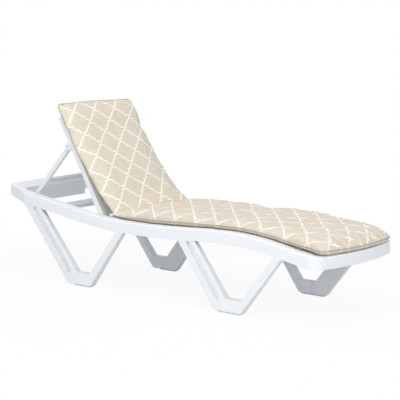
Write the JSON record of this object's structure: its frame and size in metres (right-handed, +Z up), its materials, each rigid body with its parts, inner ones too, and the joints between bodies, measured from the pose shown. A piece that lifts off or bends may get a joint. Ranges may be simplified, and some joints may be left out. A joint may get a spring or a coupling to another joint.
{
  "type": "reclining sun lounger",
  "caption": "Reclining sun lounger: moulded resin frame on V-shaped legs, slatted backrest propped by a folding bail, and a long trellis-patterned cushion.",
  "frame": {"origin": "on the floor, under the middle of the lounger", "axes": "+X along the lounger from head end to foot end, +Y across it, +Z up"},
  "size_m": [1.95, 0.58, 0.8515],
  "materials": {
    "frame_resin": "satin white moulded resin",
    "backrest_resin": "satin white moulded resin",
    "bail_resin": "satin white moulded resin",
    "hinge_nylon": "white nylon",
    "pad_rubber": "matt grey",
    "wheel_plastic": "matt grey",
    "axle_steel": "zinc plated",
    "cushion_fabric": "woven, beige with an off-white ogee trellis"
  },
  "bodies": {
    "frame": {"cross_brace": "frame_resin", "cushion_foot": "cushion_fabric", "cushion_seat": "cushion_fabric", "foot_end": "frame_resin", "foot_pad_foot_left": "pad_rubber", "foot_pad_foot_right": "pad_rubber", "foot_pad_head_left": "pad_rubber", "foot_pad_head_right": "pad_rubber", "head_end": "frame_resin", "hinge_pin_left": "hinge_nylon", "hinge_pin_right": "hinge_nylon", "leg_foot_left": "frame_resin", "leg_foot_right": "frame_resin", "leg_head_left": "frame_resin", "leg_head_right": "frame_resin", "notch_rack_left": "frame_resin", "notch_rack_right": "frame_resin", "seat_slat_01": "frame_resin", "seat_slat_02": "frame_resin", "seat_slat_03": "frame_resin", "seat_slat_04": "frame_resin", "seat_slat_05": "frame_resin", "seat_slat_06": "frame_resin", "seat_slat_07": "frame_resin", "seat_slat_08": "frame_resin", "seat_slat_09": "frame_resin", "seat_slat_10": "frame_resin", "seat_slat_11": "frame_resin", "seat_slat_12": "frame_resin", "side_rail_left": "frame_resin", "side_rail_right": "frame_resin", "wheel_axle_left": "axle_steel", "wheel_axle_right": "axle_steel"},
    "backrest": {"back_bottom_rail": "backrest_resin", "back_rail_left": "backrest_resin", "back_rail_right": "backrest_resin", "back_slat_1": "backrest_resin", "back_slat_2": "backrest_resin", "back_slat_3": "backrest_resin", "back_slat_4": "backrest_resin", "back_top_rail": "backrest_resin", "bail_pin_left": "hinge_nylon", "bail_pin_right": "hinge_nylon", "cushion_back": "cushion_fabric", "hinge_bush_left": "hinge_nylon", "hinge_bush_right": "hinge_nylon"},
    "bail": {"bail_arm_left": "bail_resin", "bail_arm_right": "bail_resin", "bail_crossbar": "bail_resin"},
    "wheel_right": {"wheel_right": "wheel_plastic"},
    "wheel_left": {"wheel_left": "wheel_plastic"}
  },
  "joints": [
    {"name": "backrest_hinge", "type": "hinge", "parent": "frame", "child": "backrest", "pos_m": [-0.342, 0, 0.32766], "axis": [0, -1, 0], "range_deg": [0, 46.4]},
    {"name": "bail_pivot", "type": "hinge", "parent": "backrest", "child": "bail", "pos_m": [-0.56838, 0, 0.65153], "axis": [0, -1, 0], "range_deg": [-4.2, 0]},
    {"name": "wheel_spin_right", "type": "hinge", "parent": "frame", "child": "wheel_right", "pos_m": [-0.50903, -0.2695, 0.0295], "axis": [0, 1, 0], "continuous": true},
    {"name": "wheel_spin_left", "type": "hinge", "parent": "frame", "child": "wheel_left", "pos_m": [-0.44903, 0.2695, 0.0295], "axis": [0, 1, 0], "continuous": true}
  ],
  "couplings": [
    {"joint": "bail_pivot", "follows": "backrest_hinge", "ratio": -0.09}
  ]
}
